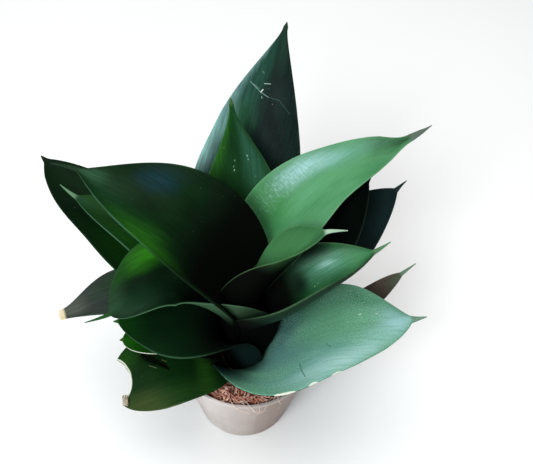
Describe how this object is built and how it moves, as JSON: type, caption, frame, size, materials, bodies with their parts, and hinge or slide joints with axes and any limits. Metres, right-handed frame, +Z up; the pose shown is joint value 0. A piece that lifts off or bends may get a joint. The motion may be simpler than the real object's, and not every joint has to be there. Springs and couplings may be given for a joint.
{
  "type": "potted snake plant",
  "caption": "Low rosette of thick, dark green, cupped succulent leaves in a small tapered nursery pot filled with coir.",
  "frame": {"origin": "middle of the pot's underside, on the surface that the pot stands on", "axes": "+Z up, the plant's front looks towards -Y, +X to the right in that view"},
  "size_m": [0.2429, 0.198, 0.2116],
  "materials": {
    "pot": "satin warm grey plastic",
    "soil": "loose coir shreds and fibres",
    "crown": "matte plant stem",
    "leaf_left_inner": "satin waxy leaf",
    "leaf_left_front": "satin waxy leaf",
    "leaf_heart": "satin waxy leaf",
    "leaf_right_inner": "satin waxy leaf",
    "leaf_right_upper": "satin waxy leaf",
    "leaf_back_inner": "satin waxy leaf",
    "leaf_left_lower": "satin waxy leaf",
    "leaf_front_right": "satin waxy leaf",
    "leaf_right_dark": "satin waxy leaf",
    "leaf_left_narrow": "satin waxy leaf",
    "leaf_back_tall": "satin waxy leaf",
    "leaf_low_bright": "satin waxy leaf",
    "leaf_left_outer": "satin waxy leaf",
    "leaf_right_outer": "satin waxy leaf",
    "leaf_cut_tip": "satin waxy leaf",
    "leaf_front_left": "satin waxy leaf",
    "leaf_right_small": "satin waxy leaf"
  },
  "bodies": {
    "root": {"pot": "pot", "soil": "soil", "crown": "crown", "leaf_left_inner": "leaf_left_inner", "leaf_left_front": "leaf_left_front", "leaf_heart": "leaf_heart", "leaf_right_inner": "leaf_right_inner", "leaf_right_upper": "leaf_right_upper", "leaf_back_inner": "leaf_back_inner", "leaf_left_lower": "leaf_left_lower", "leaf_front_right": "leaf_front_right", "leaf_right_dark": "leaf_right_dark", "leaf_left_narrow": "leaf_left_narrow", "leaf_back_tall": "leaf_back_tall", "leaf_low_bright": "leaf_low_bright", "leaf_left_outer": "leaf_left_outer", "leaf_right_outer": "leaf_right_outer", "leaf_cut_tip": "leaf_cut_tip", "leaf_front_left": "leaf_front_left", "leaf_right_small": "leaf_right_small"}
  },
  "joints": []
}
